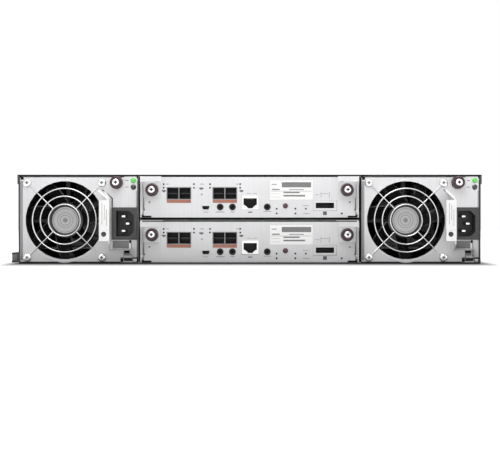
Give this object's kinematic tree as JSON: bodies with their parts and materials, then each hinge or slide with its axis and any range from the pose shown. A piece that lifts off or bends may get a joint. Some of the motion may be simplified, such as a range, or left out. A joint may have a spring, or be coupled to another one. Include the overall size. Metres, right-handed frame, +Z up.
{
  "type": "disk shelf enclosure",
  "caption": "Two-unit rack shelf with slide-in drive carriers at the front and slide-in controllers and fan-cooled power modules at the rear.",
  "frame": {"origin": "centre of the chassis underside, at the base mount", "axes": "+Z up; +Y towards the drive side (front); -Y towards the controllers (rear); +X to the right seen from the rear"},
  "size_m": [0.4826, 0.6066, 0.0855],
  "materials": {
    "painted_tray": "satin",
    "zinc_sheet": "satin",
    "zinc_cover": "satin",
    "board": "matte",
    "black_plastic": "satin",
    "fan_plastic": "gloss",
    "guard_steel": "polished",
    "inlet_plastic": "satin",
    "lamp_lens": "gloss",
    "maroon_grip": "satin",
    "maroon_button": "satin",
    "latch_steel": "satin",
    "carrier_plastic": "satin",
    "carrier_lever_plastic": "satin",
    "ear_steel": "satin"
  },
  "bodies": {
    "chassis": {"chassis_tray": "painted_tray", "top_cover": "zinc_cover", "bay_partitions": "zinc_sheet", "drive_cage": "zinc_sheet", "midplane_board": "board", "rack_ears": "ear_steel"},
    "power_module_left": {"psu_case_left": "zinc_sheet", "fan_frame_left": "black_plastic", "fan_guard_left": "guard_steel", "ac_inlet_left": "inlet_plastic", "status_lamps_left": "lamp_lens"},
    "fan_left": {"fan_rotor_left": "fan_plastic"},
    "release_lever_left": {"release_lever_left": "latch_steel"},
    "psu_thumbscrew_left": {"psu_thumbscrew_left": "maroon_grip"},
    "power_module_right": {"psu_case_right": "zinc_sheet", "fan_frame_right": "black_plastic", "fan_guard_right": "guard_steel", "ac_inlet_right": "inlet_plastic", "status_lamps_right": "lamp_lens"},
    "fan_right": {"fan_rotor_right": "fan_plastic"},
    "release_lever_right": {"release_lever_right": "latch_steel"},
    "psu_thumbscrew_right": {"psu_thumbscrew_right": "maroon_grip"},
    "controller_lower": {"controller_case_lower": "zinc_sheet", "controller_ports_lower": "board"},
    "latch_right_lower": {"latch_right_lower": "latch_steel"},
    "thumbscrew_right_lower": {"thumbscrew_right_lower": "maroon_grip"},
    "latch_left_lower": {"latch_left_lower": "latch_steel"},
    "thumbscrew_left_lower": {"thumbscrew_left_lower": "maroon_grip"},
    "id_button_lower": {"id_button_lower": "maroon_button"},
    "controller_upper": {"controller_case_upper": "zinc_sheet", "controller_ports_upper": "board"},
    "latch_right_upper": {"latch_right_upper": "latch_steel"},
    "thumbscrew_right_upper": {"thumbscrew_right_upper": "maroon_grip"},
    "latch_left_upper": {"latch_left_upper": "latch_steel"},
    "thumbscrew_left_upper": {"thumbscrew_left_upper": "maroon_grip"},
    "id_button_upper": {"id_button_upper": "maroon_button"},
    "drive_carrier_01": {"drive_carrier_01": "carrier_plastic"},
    "carrier_lever_01": {"carrier_lever_01": "carrier_lever_plastic"},
    "drive_carrier_02": {"drive_carrier_02": "carrier_plastic"},
    "carrier_lever_02": {"carrier_lever_02": "carrier_lever_plastic"},
    "drive_carrier_03": {"drive_carrier_03": "carrier_plastic"},
    "carrier_lever_03": {"carrier_lever_03": "carrier_lever_plastic"},
    "drive_carrier_04": {"drive_carrier_04": "carrier_plastic"},
    "carrier_lever_04": {"carrier_lever_04": "carrier_lever_plastic"},
    "drive_carrier_05": {"drive_carrier_05": "carrier_plastic"},
    "carrier_lever_05": {"carrier_lever_05": "carrier_lever_plastic"},
    "drive_carrier_06": {"drive_carrier_06": "carrier_plastic"},
    "carrier_lever_06": {"carrier_lever_06": "carrier_lever_plastic"},
    "drive_carrier_07": {"drive_carrier_07": "carrier_plastic"},
    "carrier_lever_07": {"carrier_lever_07": "carrier_lever_plastic"},
    "drive_carrier_08": {"drive_carrier_08": "carrier_plastic"},
    "carrier_lever_08": {"carrier_lever_08": "carrier_lever_plastic"},
    "drive_carrier_09": {"drive_carrier_09": "carrier_plastic"},
    "carrier_lever_09": {"carrier_lever_09": "carrier_lever_plastic"},
    "drive_carrier_10": {"drive_carrier_10": "carrier_plastic"},
    "carrier_lever_10": {"carrier_lever_10": "carrier_lever_plastic"},
    "drive_carrier_11": {"drive_carrier_11": "carrier_plastic"},
    "carrier_lever_11": {"carrier_lever_11": "carrier_lever_plastic"},
    "drive_carrier_12": {"drive_carrier_12": "carrier_plastic"},
    "carrier_lever_12": {"carrier_lever_12": "carrier_lever_plastic"}
  },
  "joints": [
    {"name": "power_module_left_slide", "type": "slide", "parent": "chassis", "child": "power_module_left", "axis": [0, -1, 0], "range_m": [0, 0.36]},
    {"name": "fan_left_spin", "type": "hinge", "parent": "power_module_left", "child": "fan_left", "pos_m": [-0.1771, -0.276, 0.0419], "axis": [0, -1, 0], "continuous": true},
    {"name": "release_lever_left_swing", "type": "hinge", "parent": "power_module_left", "child": "release_lever_left", "pos_m": [-0.1141, -0.2857, 0.007], "axis": [1, 0, 0], "range_deg": [0, 42]},
    {"name": "psu_thumbscrew_left_turn", "type": "hinge", "parent": "power_module_left", "child": "psu_thumbscrew_left", "pos_m": [-0.1275, -0.2891, 0.078], "axis": [0, -1, 0], "range_deg": [0, 1080]},
    {"name": "power_module_right_slide", "type": "slide", "parent": "chassis", "child": "power_module_right", "axis": [0, -1, 0], "range_m": [0, 0.36]},
    {"name": "fan_right_spin", "type": "hinge", "parent": "power_module_right", "child": "fan_right", "pos_m": [0.1499, -0.276, 0.0419], "axis": [0, -1, 0], "continuous": true},
    {"name": "release_lever_right_swing", "type": "hinge", "parent": "power_module_right", "child": "release_lever_right", "pos_m": [0.2129, -0.2857, 0.007], "axis": [1, 0, 0], "range_deg": [0, 42]},
    {"name": "psu_thumbscrew_right_turn", "type": "hinge", "parent": "power_module_right", "child": "psu_thumbscrew_right", "pos_m": [0.1995, -0.2891, 0.078], "axis": [0, -1, 0], "range_deg": [0, 1080]},
    {"name": "controller_lower_slide", "type": "slide", "parent": "chassis", "child": "controller_lower", "axis": [0, -1, 0], "range_m": [0, 0.36]},
    {"name": "latch_right_lower_swing", "type": "hinge", "parent": "controller_lower", "child": "latch_right_lower", "pos_m": [0.1024, -0.2858, 0.0086], "axis": [1, 0, 0], "range_deg": [0, 60]},
    {"name": "thumbscrew_right_lower_turn", "type": "hinge", "parent": "latch_right_lower", "child": "thumbscrew_right_lower", "pos_m": [0.0933, -0.2915, 0.028], "axis": [0, -1, 0], "range_deg": [0, 1080]},
    {"name": "latch_left_lower_swing", "type": "hinge", "parent": "controller_lower", "child": "latch_left_lower", "pos_m": [-0.1024, -0.2858, 0.0086], "axis": [1, 0, 0], "range_deg": [0, 60]},
    {"name": "thumbscrew_left_lower_turn", "type": "hinge", "parent": "latch_left_lower", "child": "thumbscrew_left_lower", "pos_m": [-0.0933, -0.2915, 0.028], "axis": [0, -1, 0], "range_deg": [0, 1080]},
    {"name": "id_button_lower_press", "type": "slide", "parent": "controller_lower", "child": "id_button_lower", "axis": [0, 1, 0], "range_m": [0, 0.001], "stiffness_N_per_m": 400},
    {"name": "controller_upper_slide", "type": "slide", "parent": "chassis", "child": "controller_upper", "axis": [0, -1, 0], "range_m": [0, 0.36]},
    {"name": "latch_right_upper_swing", "type": "hinge", "parent": "controller_upper", "child": "latch_right_upper", "pos_m": [0.1024, -0.2858, 0.0515], "axis": [1, 0, 0], "range_deg": [0, 60]},
    {"name": "thumbscrew_right_upper_turn", "type": "hinge", "parent": "latch_right_upper", "child": "thumbscrew_right_upper", "pos_m": [0.0933, -0.2915, 0.0709], "axis": [0, -1, 0], "range_deg": [0, 1080]},
    {"name": "latch_left_upper_swing", "type": "hinge", "parent": "controller_upper", "child": "latch_left_upper", "pos_m": [-0.1024, -0.2858, 0.0515], "axis": [1, 0, 0], "range_deg": [0, 60]},
    {"name": "thumbscrew_left_upper_turn", "type": "hinge", "parent": "latch_left_upper", "child": "thumbscrew_left_upper", "pos_m": [-0.0933, -0.2915, 0.0709], "axis": [0, -1, 0], "range_deg": [0, 1080]},
    {"name": "id_button_upper_press", "type": "slide", "parent": "controller_upper", "child": "id_button_upper", "axis": [0, 1, 0], "range_m": [0, 0.001], "stiffness_N_per_m": 400},
    {"name": "drive_carrier_01_slide", "type": "slide", "parent": "chassis", "child": "drive_carrier_01", "axis": [0, 1, 0], "range_m": [0, 0.19]},
    {"name": "carrier_lever_01_swing", "type": "hinge", "parent": "drive_carrier_01", "child": "carrier_lever_01", "pos_m": [-0.20985, 0.289, 0.01535], "axis": [0, 0, 1], "range_deg": [0, 60]},
    {"name": "drive_carrier_02_slide", "type": "slide", "parent": "chassis", "child": "drive_carrier_02", "axis": [0, 1, 0], "range_m": [0, 0.19]},
    {"name": "carrier_lever_02_swing", "type": "hinge", "parent": "drive_carrier_02", "child": "carrier_lever_02", "pos_m": [-0.1, 0.289, 0.01535], "axis": [0, 0, 1], "range_deg": [0, 60]},
    {"name": "drive_carrier_03_slide", "type": "slide", "parent": "chassis", "child": "drive_carrier_03", "axis": [0, 1, 0], "range_m": [0, 0.19]},
    {"name": "carrier_lever_03_swing", "type": "hinge", "parent": "drive_carrier_03", "child": "carrier_lever_03", "pos_m": [0.00985, 0.289, 0.01535], "axis": [0, 0, 1], "range_deg": [0, 60]},
    {"name": "drive_carrier_04_slide", "type": "slide", "parent": "chassis", "child": "drive_carrier_04", "axis": [0, 1, 0], "range_m": [0, 0.19]},
    {"name": "carrier_lever_04_swing", "type": "hinge", "parent": "drive_carrier_04", "child": "carrier_lever_04", "pos_m": [0.1197, 0.289, 0.01535], "axis": [0, 0, 1], "range_deg": [0, 60]},
    {"name": "drive_carrier_05_slide", "type": "slide", "parent": "chassis", "child": "drive_carrier_05", "axis": [0, 1, 0], "range_m": [0, 0.19]},
    {"name": "carrier_lever_05_swing", "type": "hinge", "parent": "drive_carrier_05", "child": "carrier_lever_05", "pos_m": [-0.20985, 0.289, 0.04285], "axis": [0, 0, 1], "range_deg": [0, 60]},
    {"name": "drive_carrier_06_slide", "type": "slide", "parent": "chassis", "child": "drive_carrier_06", "axis": [0, 1, 0], "range_m": [0, 0.19]},
    {"name": "carrier_lever_06_swing", "type": "hinge", "parent": "drive_carrier_06", "child": "carrier_lever_06", "pos_m": [-0.1, 0.289, 0.04285], "axis": [0, 0, 1], "range_deg": [0, 60]},
    {"name": "drive_carrier_07_slide", "type": "slide", "parent": "chassis", "child": "drive_carrier_07", "axis": [0, 1, 0], "range_m": [0, 0.19]},
    {"name": "carrier_lever_07_swing", "type": "hinge", "parent": "drive_carrier_07", "child": "carrier_lever_07", "pos_m": [0.00985, 0.289, 0.04285], "axis": [0, 0, 1], "range_deg": [0, 60]},
    {"name": "drive_carrier_08_slide", "type": "slide", "parent": "chassis", "child": "drive_carrier_08", "axis": [0, 1, 0], "range_m": [0, 0.19]},
    {"name": "carrier_lever_08_swing", "type": "hinge", "parent": "drive_carrier_08", "child": "carrier_lever_08", "pos_m": [0.1197, 0.289, 0.04285], "axis": [0, 0, 1], "range_deg": [0, 60]},
    {"name": "drive_carrier_09_slide", "type": "slide", "parent": "chassis", "child": "drive_carrier_09", "axis": [0, 1, 0], "range_m": [0, 0.19]},
    {"name": "carrier_lever_09_swing", "type": "hinge", "parent": "drive_carrier_09", "child": "carrier_lever_09", "pos_m": [-0.20985, 0.289, 0.07035], "axis": [0, 0, 1], "range_deg": [0, 60]},
    {"name": "drive_carrier_10_slide", "type": "slide", "parent": "chassis", "child": "drive_carrier_10", "axis": [0, 1, 0], "range_m": [0, 0.19]},
    {"name": "carrier_lever_10_swing", "type": "hinge", "parent": "drive_carrier_10", "child": "carrier_lever_10", "pos_m": [-0.1, 0.289, 0.07035], "axis": [0, 0, 1], "range_deg": [0, 60]},
    {"name": "drive_carrier_11_slide", "type": "slide", "parent": "chassis", "child": "drive_carrier_11", "axis": [0, 1, 0], "range_m": [0, 0.19]},
    {"name": "carrier_lever_11_swing", "type": "hinge", "parent": "drive_carrier_11", "child": "carrier_lever_11", "pos_m": [0.00985, 0.289, 0.07035], "axis": [0, 0, 1], "range_deg": [0, 60]},
    {"name": "drive_carrier_12_slide", "type": "slide", "parent": "chassis", "child": "drive_carrier_12", "axis": [0, 1, 0], "range_m": [0, 0.19]},
    {"name": "carrier_lever_12_swing", "type": "hinge", "parent": "drive_carrier_12", "child": "carrier_lever_12", "pos_m": [0.1197, 0.289, 0.07035], "axis": [0, 0, 1], "range_deg": [0, 60]}
  ]
}
